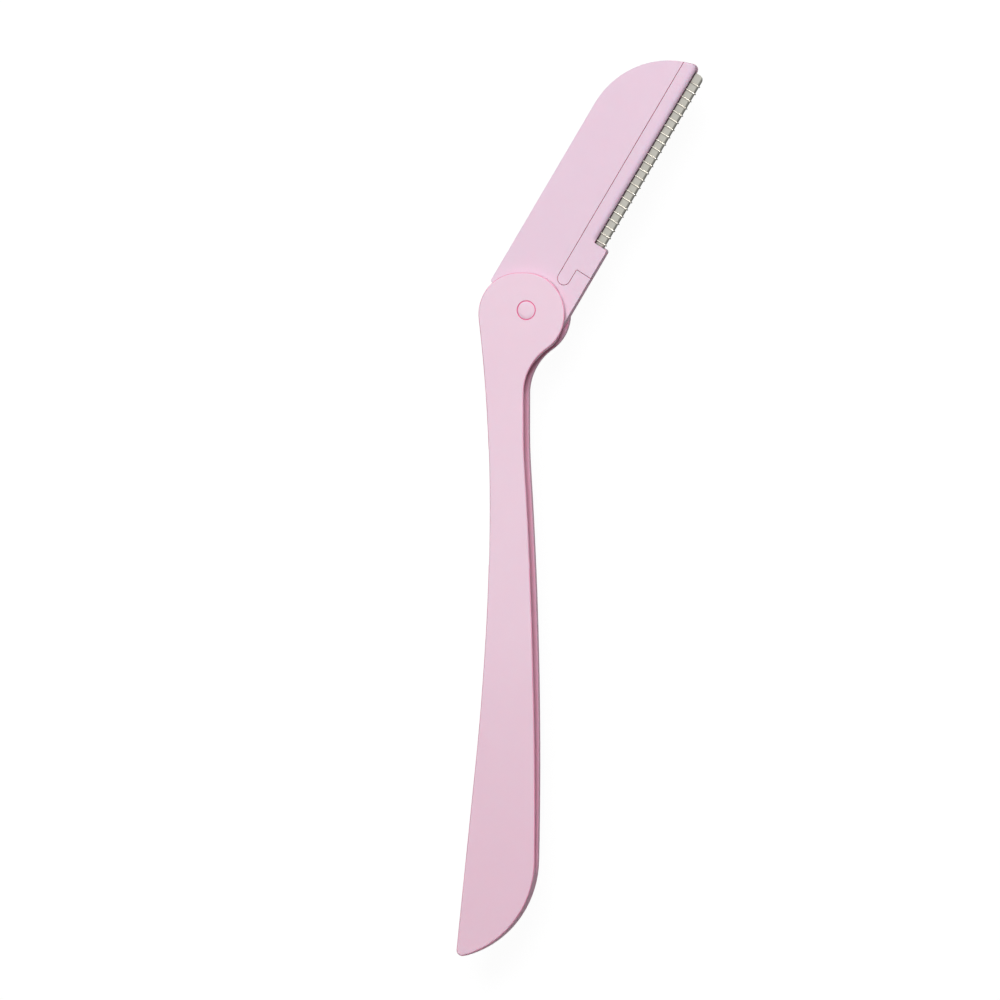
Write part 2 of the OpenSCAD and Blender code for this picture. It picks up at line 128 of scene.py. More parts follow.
# Blade clamp
CLAMP_EDGE = 1.47
TONGUE_R = 1.1
TONGUE_LOW = 6.9
HEEL_LOW = 10.5
GROOVE_W = 0.1
SHOULDER_W = 1.8
SHOULDER_STEPS = 4
SHOULDER_DROP = 0.3
SHOULDER_FADE = 2.2
FADE_STEPS = 6
LIP_W = 0.6
LIP_STEPS = 6
LIP_SHARE = 0.75
CLAMP_PEG_R = 0.42
CLAMP_PEG_PLAY = 0.03
CLAMP_PEG_DEPTH = 0.2
CLAMP_PEG_INSET = 1.0

# Blade
BLADE_W = 3.3
BLADE_OUT = 1.8
BLADE_T = 0.4
GRIND_W = 0.38
EDGE_LAND = 0.03
BLADE_TUCK = 2.9
BLADE_SHORT = 1.05
BLADE_CORNER_R = 0.9
BLADE_ROUND = 0.02
POCKET_PLAY = 0.1

# Guard wire
TURNS = 23
WIRE_D = 0.19
WIRE_PLAY = 0.02
WIRE_LOW = 0.6
WIRE_HIGH = 1.75
WIRE_BACK_SHARE = 0.5
WIRE_RUN_STEPS = 5
WIRE_BEND_STEPS = 12
WIRE_SIDE_STEPS = 2

QUARTER_STEPS = 18
SHALLOW_STEPS = 10
ROUND_SIDES = 96

# Painted shade: how much deep pink stands in for shade on a face that looks into a gap, on the lip
# and on upright outer walls, and how far a gap reaches
PROBE = 0.04
GAP_PAINTED_SHADE = 1.0
RING_PAINTED_SHADE = 0.75
SLOT_PAINTED_SHADE = 0.5
WINDOW_PAINTED_SHADE = 0.3
WALL_PAINTED_SHADE = 0.2
LIP_PAINTED_SHADE = 0.3
GROOVE_REACH = 0.16
GROOVE_SINK = 0.002
BORE_REACH = 0.12

# Colours of the plastic, and of the shade painted on it: deeper towards the tail, deep pink in gaps,
# lilac and dark on the clamp's shoulder
HANDLE_PINK = (0.83, 0.63, 0.73)
HANDLE_DEEP = (0.815, 0.61, 0.715)
HEAD_PINK = (0.785, 0.60, 0.71)
HEAD_DEEP = (0.77, 0.585, 0.695)
# Painted shade: a deeper pink towards the tail
TAIL_SHADE_PINK = (0.82, 0.57, 0.68)
TAIL_SHADE_FROM = -35
TAIL_SHADE_TO = -105
# Painted shade: the deep pink that gaps, upright walls and the lip take
PAINTED_SHADE_PINK = (0.88, 0.10, 0.32)
# Painted shade on the clamp's shoulder: a lilac on its middle, and a dark pink towards the lip's
# edge
SHOULDER_SHADE_LILAC = (0.745, 0.575, 0.72)
SHOULDER_SHADE_FROM = 2.8
SHOULDER_SHADE_SHARE = 0.55
SHADE_PINK = (0.08, 0.025, 0.04)
LIP_SHADE_W = 1.0
LIP_SHADE = 0.6

# Grain, gloss and depth of the plastic
GRAIN_SCALE = 9000
FLOW_SCALE = 160
DRIFT_SCALE = 38
FLOW_SHARE = 0.55
PLASTIC_ROUGH = 0.4
FLOW_ROUGH = 0.06
GRAIN_ROUGH = 0.05
GRAIN_BUMP = 0.35
GRAIN_DEPTH = 0.004
PLASTIC_IOR = 1.46
PLASTIC_SPECULAR = 0.04
SCATTER_SHARE = 0.25
SCATTER_DEPTH = 0.8
SCATTER_REACH = (1.0, 0.5, 0.6)

# Blade steel
STEEL = (0.58, 0.565, 0.51)
# Painted shadow: the steel goes dark beside the clamp's lip
LIP_SHADOW_STEEL = (0.10, 0.065, 0.08)
LIP_SHADOW_FROM = 0.17
LIP_SHADOW_FULL = 0.06
LINE_SCALE = (60000, 900, 9000)
LINE_SHARE = 0.6
CLOUD_SCALE = 500
STEEL_DEEP = 0.86
GROUND_PALE = 0.62
GROUND_DARK = 0.24
# Painted shadow: a dark band on the blade's front just below each turn of the wire
TURN_SHADE_FROM = 0.03
TURN_SHADE_TO = 0.16
TURN_SHADE_SHARE = 0.6
TURN_SHADE_DEEP = 0.35
STEEL_ROUGH = 0.42
GROUND_GLOSS = 0.14
CLOUD_ROUGH = 0.08
LINE_BUMP = 0.3
LINE_DEPTH = 0.002

# Wire steel
WIRE_STEEL = (0.90, 0.85, 0.76)
STREAK_SCALE = (4000, 40000, 4000)
STREAK_DEEP = 0.85
STREAK_ROUGH = 0.1
WIRE_ROUGH = 0.24
# Painted shade: the wire goes dark where it bends round the blade's edge
BEND_SHADE_IN = 0.15
BEND_SHADE_OUT = 0.05
BEND_SHADE_DEEP = 0.12

# The photograph's frame, and the camera that looks down on the razor
PHOTO_SIDE = 1000
PIXEL_MM = 0.172
PIVOT_PIXEL = (526.2, 310.2)
YAW = 16.7
CAMERA_MM = 2000
SENSOR_MM = 36
CLIP_NEAR = 0.01
CLIP_FAR = 20

# Studio, in metres but for the floor's drop
LAMP_AIM = (0.0, -0.02, 0.0)
WHITE = (1, 1, 1, 1)
ZENITH = 0.34
HORIZON = 0.04
FLOOR_DIM = 0.4
FLOOR_PALE = 0.73
FLOOR_GLOW = 1.02
FLOOR_SHARE = 0.94
FLOOR_HALF = 6.0
FLOOR_DROP = 12.0

WIRE_R = WIRE_D / 2
BEND_R = BLADE_T / 2 + WIRE_R + WIRE_PLAY
RECESS_FLOOR = BLADE_MID - BEND_R - WIRE_R - WIRE_PLAY
POCKET_ROOF = BLADE_MID + BEND_R + WIRE_R + WIRE_PLAY
TAPER_ANGLE = math.radians(TAPER_SLOPE)
BEND_START = TAPER_START - TAPER_BEND_R * math.tan(TAPER_ANGLE / 2)


def part_way(value, start, end):
    """How far a value has come from start to end, from 0 to 1."""
    return min(max((value - start) / (end - start), 0), 1)


def eased(share):
    """A share from 0 to 1 that sets off and comes in gently."""
    return share * share * (3 - 2 * share)


def arc(mid, radius, start, end, steps):
    """Points of an arc about mid, with its angles in degrees."""
    angles = [math.radians(start + (end - start) * i / steps) for i in range(steps + 1)]
    return [mid + radius * Vector((math.cos(a), math.sin(a))) for a in angles]


def heading(p, q):
    """Angle of the way from p to q, in degrees."""
    return math.degrees(math.atan2(q.y - p.y, q.x - p.x))


def crossing(p, rp, q, rq):
    """Where two circles cross, on the left of the way from p to q."""
    gap = (q - p).length
    along = (gap * gap + rp * rp - rq * rq) / (2 * gap)
    way = (q - p) / gap
    return p + along * way + math.sqrt(rp * rp - along * along) * Vector((-way.y, way.x))


def drawn_in(points, depth):
    """A closed outline that runs anticlockwise, drawn in by depth."""
    count = len(points)
    inner = []
    for i, point in enumerate(points):
        way = (points[(i + 1) % count] - points[i - 1]).normalized()
        inner.append(point + depth * Vector((-way.y, way.x)))
    return inner


def holds(points, place):
    """Whether a closed outline goes round the place."""
    inside = False
    for p, q in zip(points, points[-1:] + points[:-1]):
        if (p.y > place.y) != (q.y > place.y):
            if place.x < p.x + (place.y - p.y) * (q.x - p.x) / (q.y - p.y):
                inside = not inside
    return inside


def reach_of(points, place):
    """How far a place is from a closed outline."""
    nearest = math.inf
    for p, q in zip(points, points[-1:] + points[:-1]):
        way = q - p
        share = min(max((place - p).dot(way) / way.length_squared, 0), 1)
        nearest = min(nearest, (place - p - share * way).length)
    return nearest


def handle_outlines():
    """The handle's outline, the slot's outline and the places of the three pegs."""
    lobe_y = -LOBE_DROP
    upper = Vector((-WAIST_BACK - WAIST_UPPER_R, -WAIST_DROP))
    lower = Vector((-WAIST_BACK - WAIST_LOWER_R, -WAIST_DROP))
    reach = math.sqrt((WAIST_UPPER_R + LOBE_R) ** 2 - (WAIST_DROP - LOBE_DROP) ** 2)
    lobe_left = Vector((upper.x + reach, lobe_y))
    lobe_right = Vector((lobe_left.x + LOBE_SPAN, lobe_y))
    neck_x = NECK_R - NECK_FRONT
    neck_y = lobe_y - math.sqrt((LOBE_R + NECK_R) ** 2 - (neck_x - lobe_right.x) ** 2)
    neck = Vector((neck_x, neck_y))
    belly = Vector((BELLY_FRONT - BELLY_R, -BELLY_DROP))
    hollow_x = HOLLOW_R - NECK_FRONT
    hollow_y = -BELLY_DROP + math.sqrt((BELLY_R + HOLLOW_R) ** 2 - (hollow_x - belly.x) ** 2)
    hollow = Vector((hollow_x, hollow_y))
    slope = math.radians(TAIL_SLOPE)
    tail_way = Vector((-math.sin(slope), -math.cos(slope)))
    tail_in = Vector((math.cos(slope), -math.sin(slope)))
    line_start = lower + WAIST_LOWER_R * tail_in
    tip_run = (line_start.y + TIP_R * tail_in.y + HANDLE_REACH - TIP_R) / math.cos(slope)
    tip = line_start + tip_run * tail_way + TIP_R * tail_in
    tail = crossing(belly, BELLY_R - TAIL_R, tip, TAIL_R - TIP_R)
    upper_start = heading(upper, lobe_left)
    tail_end, tail_start = heading(tail, tip), heading(belly, tail)
    back = arc(lobe_left, LOBE_R, 90, 180 + upper_start, QUARTER_STEPS)
    back += arc(upper, WAIST_UPPER_R, upper_start, 0, SHALLOW_STEPS)[1:]
    back += arc(lower, WAIST_LOWER_R, 0, -TAIL_SLOPE, SHALLOW_STEPS)[1:]
    front = arc(tip, TIP_R, 180 - TAIL_SLOPE, 360 + tail_end, QUARTER_STEPS)
    front += arc(tail, TAIL_R, tail_end, tail_start, QUARTER_STEPS)[1:]
    front += arc(belly, BELLY_R, tail_start, heading(belly, hollow), 2 * SHALLOW_STEPS)[1:]
    front += arc(hollow, HOLLOW_R, heading(hollow, belly) + 360, 180, SHALLOW_STEPS)[1:]
    front += arc(neck, NECK_R, 180, heading(neck, lobe_right), QUARTER_STEPS)[1:]
    front += arc(lobe_right, LOBE_R, heading(lobe_right, neck), 90, 2 * QUARTER_STEPS)[1:]
    outline = back + front
    inner = drawn_in(outline, SPINE_WALL)[1:len(back)]
    slot_end = HANDLE_REACH - TAIL_BLOCK
    end_drift = (slot_end + line_start.y) * math.tan(slope)
    end_x = line_start.x - end_drift + SPINE_WALL / math.cos(slope)
    far_x = 2 * LOBE_R
    ends = [Vector((end_x, -slot_end)), Vector((far_x, -slot_end)), Vector((far_x, inner[0].y))]
    step = 2 * (PEG_R + PEG_WALL)
    high_peg = Vector((tail.x + TAIL_R / 2, -slot_end - step))
    peg_reach = WAIST_LOWER_R + SPINE_WALL + PEG_R
    spine_peg_x = lower.x + math.sqrt(peg_reach ** 2 - (SPINE_PEG_DROP - WAIST_DROP) ** 2)
    pegs = [Vector((spine_peg_x, -SPINE_PEG_DROP)), high_peg, high_peg + step * tail_way]
    return outline, inner + ends, pegs


def head_outlines():
    """The outline of the head with its clamp, the recess, the clamp's region and the blade's top."""
    crown = Vector((CROWN_R - HEAD_BACK, CROWN_START))
    corner_x = COVER_EDGE - CROWN_CORNER_R
    corner_rise = math.sqrt((CROWN_R - CROWN_CORNER_R) ** 2 - (corner_x - crown.x) ** 2)
    corner_y = CROWN_START + corner_rise
    corner = Vector((corner_x, corner_y))
    jaw = Vector((HEEL_EDGE - JAW_R, JAW_UP))
    pivot = Vector((0, 0))
    jaw_angle = heading(pivot, jaw) - math.degrees(math.acos((TANG_R - JAW_R) / jaw.length))
    root_y = BACK_LOW - BACK_CORNER_R
    root = Vector((-math.sqrt((TANG_R + BACK_CORNER_R) ** 2 - root_y ** 2), root_y))
    root_angle = heading(pivot, root)
    back_corner = Vector((BACK_CORNER_R - HEAD_BACK, BACK_LOW + BACK_CORNER_R))
    heel_corner = Vector((HEEL_EDGE - HEEL_CORNER_R, HEEL_TOP - HEEL_CORNER_R))
    cover_corner = Vector((COVER_EDGE + INNER_CORNER_R, HEEL_TOP + INNER_CORNER_R))
    crown_turn = heading(crown, corner)
    small_steps = QUARTER_STEPS // 3
    outline = arc(heel_corner, HEEL_CORNER_R, 0, 90, small_steps)
    outline += arc(cover_corner, INNER_CORNER_R, 270, 180, small_steps)
    outline += arc(corner, CROWN_CORNER_R, 0, crown_turn, QUARTER_STEPS // 2)
    outline += arc(crown, CROWN_R, crown_turn, 180, 2 * QUARTER_STEPS)[1:]
    outline += arc(back_corner, BACK_CORNER_R, 180, 270, small_steps)
    outline += arc(root, BACK_CORNER_R, 90, heading(root, pivot), small_steps)
    outline += arc(pivot, TANG_R, 360 + root_angle, 360 + jaw_angle, 3 * QUARTER_STEPS)[1:]
    outline += arc(jaw, JAW_R, jaw_angle, 0, small_steps)[1:]
    far = Vector((HEEL_EDGE + OVERRUN, corner_y + CROWN_R))

    def region(gap):
        """The clamp's share of the head, grown by gap inwards and past the head's outer edges."""
        tongue = Vector((CLAMP_EDGE + TONGUE_R, TONGUE_LOW + TONGUE_R))
        radius = TONGUE_R + gap
        points = [far, Vector((CLAMP_EDGE - gap, far.y))]
        points += arc(tongue, radius, 180, 360, QUARTER_STEPS)
        if gap:
            points.append(Vector((tongue.x + radius, HEEL_LOW - gap)))
        else:
            turn = Vector((tongue.x + radius + INNER_CORNER_R, HEEL_LOW - INNER_CORNER_R))
            points += arc(turn, INNER_CORNER_R, 180, 90, small_steps)
        points.append(Vector((far.x, HEEL_LOW - gap)))
        return points

    return outline, region(GROOVE_W), region(0), corner_y + CROWN_CORNER_R - BLADE_SHORT


outline, slot, pegs = handle_outlines()
head_outline, recess, clamp_region, BLADE_TOP = head_outlines()
PEG_FLOORS = (SLOT_FLOOR, SCALE_T / 2, SCALE_T / 2)
BLADE_EDGE = COVER_EDGE + BLADE_OUT
BLADE_BACK = BLADE_EDGE - BLADE_W
BLADE_LOW = HEEL_TOP - BLADE_TUCK
WIRE_INNER = BEND_R - WIRE_R
WIRE_BACK = BLADE_BACK + WIRE_BACK_SHARE * math.sqrt(WIRE_INNER ** 2 - BLADE_T ** 2 / 4)
WIRE_FRONT = BLADE_EDGE - BLADE_T / 2
POCKET_EDGE = WIRE_BACK - BEND_R - WIRE_R - POCKET_PLAY
WIRE_TOP = BLADE_TOP - WIRE_HIGH
WIRE_PITCH = (WIRE_TOP - HEEL_TOP - WIRE_LOW) / (TURNS - 1)
clamp_peg_x = (BLADE_BACK + COVER_EDGE) / 2
clamp_pegs = [(clamp_peg_x, BLADE_LOW + CLAMP_PEG_INSET),
              (clamp_peg_x, BLADE_TOP - CLAMP_PEG_INSET)]


def prism(points, low, high):
    """A bmesh with a flat form between two heights."""
    bm = bmesh.new()
    face = bm.faces.new([bm.verts.new((p.x, p.y, low)) for p in points])
    raised = bmesh.ops.extrude_face_region(bm, geom=[face], use_keep_orig=True)
    lifted = [v for v in raised["geom"] if isinstance(v, bmesh.types.BMVert)]
    bmesh.ops.translate(bm, verts=lifted, vec=(0, 0, high - low))
    bmesh.ops.recalc_face_normals(bm, faces=bm.faces)
    return bm


def box(low, high):
    """A bmesh box between two corners."""
    corners = [(low[0], low[1]), (high[0], low[1]), (high[0], high[1]), (low[0], high[1])]
    return prism([Vector(c) for c in corners], low[2], high[2])


def turned(profile, mid=(0, 0)):
    """A bmesh spun about Z from a profile of radii and heights, from axis to axis."""
    bm = bmesh.new()
    verts = [bm.verts.new((radius, 0, height)) for radius, height in profile]
    edges = [bm.edges.new(pair) for pair in zip(verts, verts[1:])]
    bmesh.ops.spin(bm, geom=verts + edges, cent=(0, 0, 0), axis=(0, 0, 1), angle=2 * math.pi,
                   steps=ROUND_SIDES, use_merge=True)
    bmesh.ops.remove_doubles(bm, verts=bm.verts, dist=AXIS_WELD)
    bmesh.ops.recalc_face_normals(bm, faces=bm.faces)
    bmesh.ops.translate(bm, verts=bm.verts, vec=(mid[0], mid[1], 0))
    return bm


def disc(mid, radius, low, high):
    """A bmesh cylinder between two heights."""
    return turned([(0, low), (radius, low), (radius, high), (0, high)], mid)


def split(bm, place, way, dist=0):
    """Gives the bmesh edges all round where a plane crosses it."""
    bmesh.ops.bisect_plane(bm, geom=bm.verts[:] + bm.edges[:] + bm.faces[:], dist=dist,
                           plane_co=place, plane_no=way)


def rim(bm, height):
    """The edges between the flat face at that height and the walls."""
    found = []
    for edge in bm.edges:
        level = all(abs(v.co.z - height) < WELD for v in edge.verts)
        if level and any(abs(f.normal.z) < 0.5 for f in edge.link_faces):
            found.append(edge)
    return found


def rounded(bm, edges, radius, steps):
    """Rounds edges off."""
    bmesh.ops.bevel(bm, geom=edges, affect="EDGES", offset=radius, offset_type="OFFSET",
                    segments=steps, profile=0.5, material=-1, clamp_overlap=True)


def solid(name, bm):
    """An object from a bmesh, still in millimetres."""
    mesh = bpy.data.meshes.new(name)
    bm.to_mesh(mesh)
    bm.free()
    piece = bpy.data.objects.new(name, mesh)
    bpy.context.scene.collection.objects.link(piece)
    return piece


def made_real(piece):
    """Takes a piece's modifiers into its mesh."""
    graph = bpy.context.evaluated_depsgraph_get()
    mesh = bpy.data.meshes.new_from_object(piece.evaluated_get(graph))
    piece.modifiers.clear()
    piece.data = mesh


def joined(piece, operation, tools):
    """Cuts each bmesh from the piece, or adds it, or keeps what they share."""
    for bm in tools:
        tool = solid("tool", bm)
        change = piece.modifiers.new("join", "BOOLEAN")
        change.operation = operation
        change.solver = "EXACT"
        change.object = tool
        bpy.context.view_layer.update()
        made_real(piece)
        bpy.data.objects.remove(tool)


def with_painted_shade(piece, painted_shade):
    """Keeps on each face how much painted shade, a deep pink, it takes."""
    painted_shades = piece.data.attributes.new("painted_shade", "FLOAT", "CORNER")
    for face in piece.data.polygons:
        share = painted_shade(face.center, face.center + face.normal * PROBE)
        for corner in face.loop_indices:
            painted_shades.data[corner].value = share


def wall_painted_shade(centre, ahead):
    """The slight painted shade of a face that stands upright on the outside."""
    return WALL_PAINTED_SHADE if abs(ahead.z - centre.z) < PROBE / 2 else 0


def handle_painted_shade(centre, ahead):
    """The painted shade of a handle's face: deep round the pin, middling in the slot and lighter by
    the window.
    """
    if not (0 < ahead.z < HANDLE_T - taper_drop(centre.y) and holds(outline, ahead)):
        return wall_painted_shade(centre, ahead)
    if centre.xy.length < PIN_R + PIN_PLAY + 2 * PIN_CHAMFER:
        return RING_PAINTED_SHADE
    return WINDOW_PAINTED_SHADE if -WINDOW_DROP - WINDOW_LEN < centre.y < -WINDOW_DROP else SLOT_PAINTED_SHADE


def head_painted_shade(centre, ahead):
    """The painted shade of a head's face: deep in the groove and the bore, and middling on the lip.
    """
    if not holds(head_outline, ahead.xy):
        on_lip = ahead.x > COVER_EDGE and centre.y > HEEL_TOP
        return LIP_PAINTED_SHADE if on_lip else wall_painted_shade(centre, ahead)
    in_bore = HEAD_LOW < ahead.z < HEAD_HIGH and centre.xy.length < PIN_R + BORE_REACH
    by_groove = reach_of(clamp_region, centre.xy) < GROOVE_REACH
    in_groove = by_groove and centre.z < HEAD_HIGH - GROOVE_SINK
    return GAP_PAINTED_SHADE if in_bore or in_groove else 0


def finished(piece, edge_round=0, steps=0, turn=0, painted_shade=None, crisp=False):
    """Rounds sharp edges or shades them crisp, turns the piece and brings it to metres."""
    bm = bmesh.new()
    bm.from_mesh(piece.data)
    bmesh.ops.remove_doubles(bm, verts=bm.verts, dist=WELD)
    bmesh.ops.dissolve_limit(bm, angle_limit=math.radians(FLAT_ANGLE), verts=bm.verts,
                             edges=bm.edges)
    for edge in bm.edges:
        edge.smooth = not crisp or edge.calc_face_angle(0) < math.radians(SHARP_ANGLE)
    bm.to_mesh(piece.data)
    bm.free()
    if edge_round:
        bevel = piece.modifiers.new("edges", "BEVEL")
        bevel.width = edge_round
        bevel.segments = steps
        bevel.limit_method = "ANGLE"
        bevel.angle_limit = math.radians(SHARP_ANGLE)
        bevel.use_clamp_overlap = True
    made_real(piece)
    if painted_shade:
        with_painted_shade(piece, painted_shade)
    piece.data.transform(Matrix.Scale(MM, 4) @ Matrix.Rotation(math.radians(turn), 4, "Z"))
    for face in piece.data.polygons:
        face.use_smooth = True
    smoothing = piece.modifiers.new("shading", "WEIGHTED_NORMAL")
    smoothing.weight = NORMAL_WEIGHT
    smoothing.keep_sharp = crisp
    return piece


def window_step(bm):
    """Sets the back edge in by a hair along the window."""
    low, high = -WINDOW_DROP - WINDOW_LEN, -WINDOW_DROP
    for y in (low - WINDOW_INSET, low, high, high + WINDOW_INSET):
        split(bm, (0, y, 0), (0, 1, 0))
    for v in bm.verts:
        if low - WELD < v.co.y < high + WELD and v.co.x < -WAIST_BACK + 2 * SCALE_ROUND:
            v.co.x += WINDOW_INSET


def drafted(bm):
    """Slopes the front scale's wall in along the mouth of the slot."""
    inner = drawn_in(outline, 1)
    slot_end = TAIL_BLOCK - HANDLE_REACH
    shifts = {}
    for point, drawn in zip(outline, inner):
        if point.x > pegs[0].x:
            shifts[round(point.x, 4), round(point.y, 4)] = drawn - point
    for v in bm.verts:
        shift = shifts.get((round(v.co.x, 4), round(v.co.y, 4)))
        if shift and v.co.z < SLOT_ROOF + WELD:
            share = part_way(v.co.y, slot_end, slot_end + MOUTH_FADE)
            share *= part_way(-shift.x, MOUTH_FACING_FROM, MOUTH_FACING_FULL)
            v.co.xy += MOUTH_DRAFT * share * shift


def taper_drop(y):
    """How far the front scale has come down at y, past a round bend."""
    past = -y - BEND_START
    if past <= 0:
        return 0
    if past < TAPER_BEND_R * math.sin(TAPER_ANGLE):
        return TAPER_BEND_R - math.sqrt(TAPER_BEND_R ** 2 - past ** 2)
    return (-y - TAPER_START) * math.tan(TAPER_ANGLE)


def tapered(bm):
    """Brings what lies above the middle of the slot down towards the tail."""
    for i in range(SHALLOW_STEPS + 1):
        past = TAPER_BEND_R * math.sin(TAPER_ANGLE * i / SHALLOW_STEPS)
        split(bm, (0, -BEND_START - past, 0), (0, 1, 0))
    for v in bm.verts:
        if v.co.z > BLADE_MID:
            v.co.z -= taper_drop(v.co.y)


def bore(start, mouth):
    """What the pin's bore takes out of a scale, with a chamfered mouth at its outer face."""
    way = 1 if mouth > start else -1
    radius = PIN_R + PIN_PLAY
    flare = radius + PIN_CHAMFER + OVERRUN
    far = start - way * OVERRUN
    inner = mouth - way * PIN_CHAMFER
    outer = mouth + way * OVERRUN
    profile = [(0, far), (radius, far), (radius, inner), (flare, outer), (0, outer)]
    return turned(profile[::way])


def front_scale():
    """The plate that faces the viewer, with its pegs."""
    bm = prism(outline, SLOT_ROOF, HANDLE_T)
    drafted(bm)
    rounded(bm, rim(bm, HANDLE_T), SCALE_ROUND, SCALE_ROUND_STEPS)
    window_step(bm)
    tapered(bm)
    piece = solid("front_scale_moulding", bm)
    joined(piece, "DIFFERENCE", [bore(SLOT_ROOF, HANDLE_T)])
    peg_root = SLOT_ROOF + SCALE_T / 2
    joined(piece, "UNION", [disc(p, PEG_R, floor + PEG_RISE, peg_root - taper_drop(p.y))
                            for p, floor in zip(pegs, PEG_FLOORS)])
    return finished(piece, INNER_ROUND, INNER_ROUND_STEPS, painted_shade=handle_painted_shade)


def rear_scale():
    """The plate behind the slot, with the spine wall, the tail block and the boss."""
    bm = prism(outline, 0, SLOT_ROOF - SEAM_GAP)
    rounded(bm, rim(bm, 0), SCALE_ROUND, SCALE_ROUND_STEPS)
    window_step(bm)
    tapered(bm)
    piece = solid("rear_scale_moulding", bm)
    far = 2 * LOBE_R
    top = SLOT_ROOF + OVERRUN
    stop = box((-far, BACK_LOW - STOP_GAP, SLOT_FLOOR), (far, far, top))
    bmesh.ops.rotate(stop, verts=stop.verts, cent=(0, 0, 0),
                     matrix=Matrix.Rotation(-math.radians(OPEN_ANGLE), 3, "Z"))
    window = box((-far, -WINDOW_DROP - WINDOW_LEN, SLOT_FLOOR), (0, -WINDOW_DROP, top))
    joined(piece, "DIFFERENCE", [prism(slot, SLOT_FLOOR, top), stop, window])
    boss_r = PEG_R + PEG_WALL
    boss_top = SLOT_ROOF - SEAM_GAP - taper_drop(pegs[0].y - boss_r)
    boss_ring = arc(pegs[0], boss_r, 0, 360, ROUND_SIDES)[1:]
    joined(piece, "UNION", [prism(boss_ring, SLOT_FLOOR - SCALE_T / 2, boss_top)])
    sockets = [disc(p, PEG_R + PEG_PLAY, floor, top) for p, floor in zip(pegs, PEG_FLOORS)]
    joined(piece, "DIFFERENCE", [bore(SLOT_ROOF, 0), *sockets])
    return finished(piece, INNER_ROUND, INNER_ROUND_STEPS, painted_shade=handle_painted_shade)


def pivot_pin():
    """The pin, with slightly crowned ends and a fine chamfer."""
    low, high = PIN_SINK, HANDLE_T - PIN_SINK
    shoulder = PIN_R - PIN_CHAMFER
    crown = PIN_SINK / 2
    profile = [(0, low - crown), (shoulder / 2, low - crown / 2), (shoulder, low + crown / 2),
               (PIN_R, low + PIN_CHAMFER)]
    profile += [(radius, low + high - height) for radius, height in reversed(profile)]
    return finished(solid("pivot_pin_moulding", turned(profile)), painted_shade=handle_painted_shade)


def head_block():
    """The head with the clamp still in it, its rims rounded and its strip falling away."""
    bm = prism(head_outline, HEAD_LOW, HEAD_HIGH)
    rounded(bm, rim(bm, HEAD_HIGH) + rim(bm, HEAD_LOW), HEAD_ROUND, HEAD_ROUND_STEPS)
    strip = COVER_EDGE - SHOULDER_W
    plain_w = SHOULDER_W - LIP_W
    bends = [strip + plain_w * i / SHOULDER_STEPS for i in range(SHOULDER_STEPS)]
    bends += [COVER_EDGE - LIP_W * i / LIP_STEPS for i in range(1, LIP_STEPS + 1)]
    for across in bends:
        split(bm, (across, 0, 0), (1, 0, 0), WELD)
    for i in range(FADE_STEPS + 1):
        split(bm, (0, HEEL_TOP + SHOULDER_FADE * i / FADE_STEPS, 0), (0, 1, 0), WELD)
    for v in bm.verts:
        if v.co.z > BLADE_MID and v.co.x > strip and v.co.y > HEEL_TOP:
            across = part_way(v.co.x, strip, COVER_EDGE)
            along = part_way(v.co.y, HEEL_TOP, HEEL_TOP + SHOULDER_FADE)
            lip = part_way(v.co.x, COVER_EDGE - LIP_W, COVER_EDGE)
            fall = (1 - LIP_SHARE) * across ** 2 + LIP_SHARE * (1 - math.sqrt(1 - lip * lip))
            v.co.z -= SHOULDER_DROP * fall * eased(along)
    return bm


def head_body():
    """The head without the clamp, with its recess, bore and blind holes."""
    piece = solid("head_moulding", head_block())
    hole_floor = RECESS_FLOOR - CLAMP_PEG_DEPTH - CLAMP_PEG_PLAY
    holes = [disc(p, CLAMP_PEG_R + CLAMP_PEG_PLAY, hole_floor, HEAD_HIGH) for p in clamp_pegs]
    pin_hole = disc((0, 0), PIN_R + HINGE_PLAY, HEAD_LOW - OVERRUN, HEAD_HIGH + OVERRUN)
    pocket = prism(recess, RECESS_FLOOR, HEAD_HIGH + OVERRUN)
    joined(piece, "DIFFERENCE", [pocket, pin_hole, *holes])
    return finished(piece, turn=-OPEN_ANGLE, painted_shade=head_painted_shade, crisp=True)


def blade_clamp():
    """The strip that holds the blade down, with its tongue, heel, pocket and pegs."""
    piece = solid("clamp_moulding", head_block())
    joined(piece, "INTERSECT", [prism(clamp_region, RECESS_FLOOR, HEAD_HIGH + OVERRUN)])
    pocket = box((POCKET_EDGE, BLADE_LOW - POCKET_PLAY, RECESS_FLOOR - OVERRUN),
                 (BLADE_EDGE + POCKET_PLAY, BLADE_TOP + POCKET_PLAY, POCKET_ROOF))
    joined(piece, "DIFFERENCE", [pocket])
    peg_low, peg_root = RECESS_FLOOR - CLAMP_PEG_DEPTH, POCKET_ROOF + WIRE_D
    joined(piece, "UNION", [disc(p, CLAMP_PEG_R, peg_low, peg_root) for p in clamp_pegs])
    return finished(piece, turn=-OPEN_ANGLE, painted_shade=head_painted_shade, crisp=True)


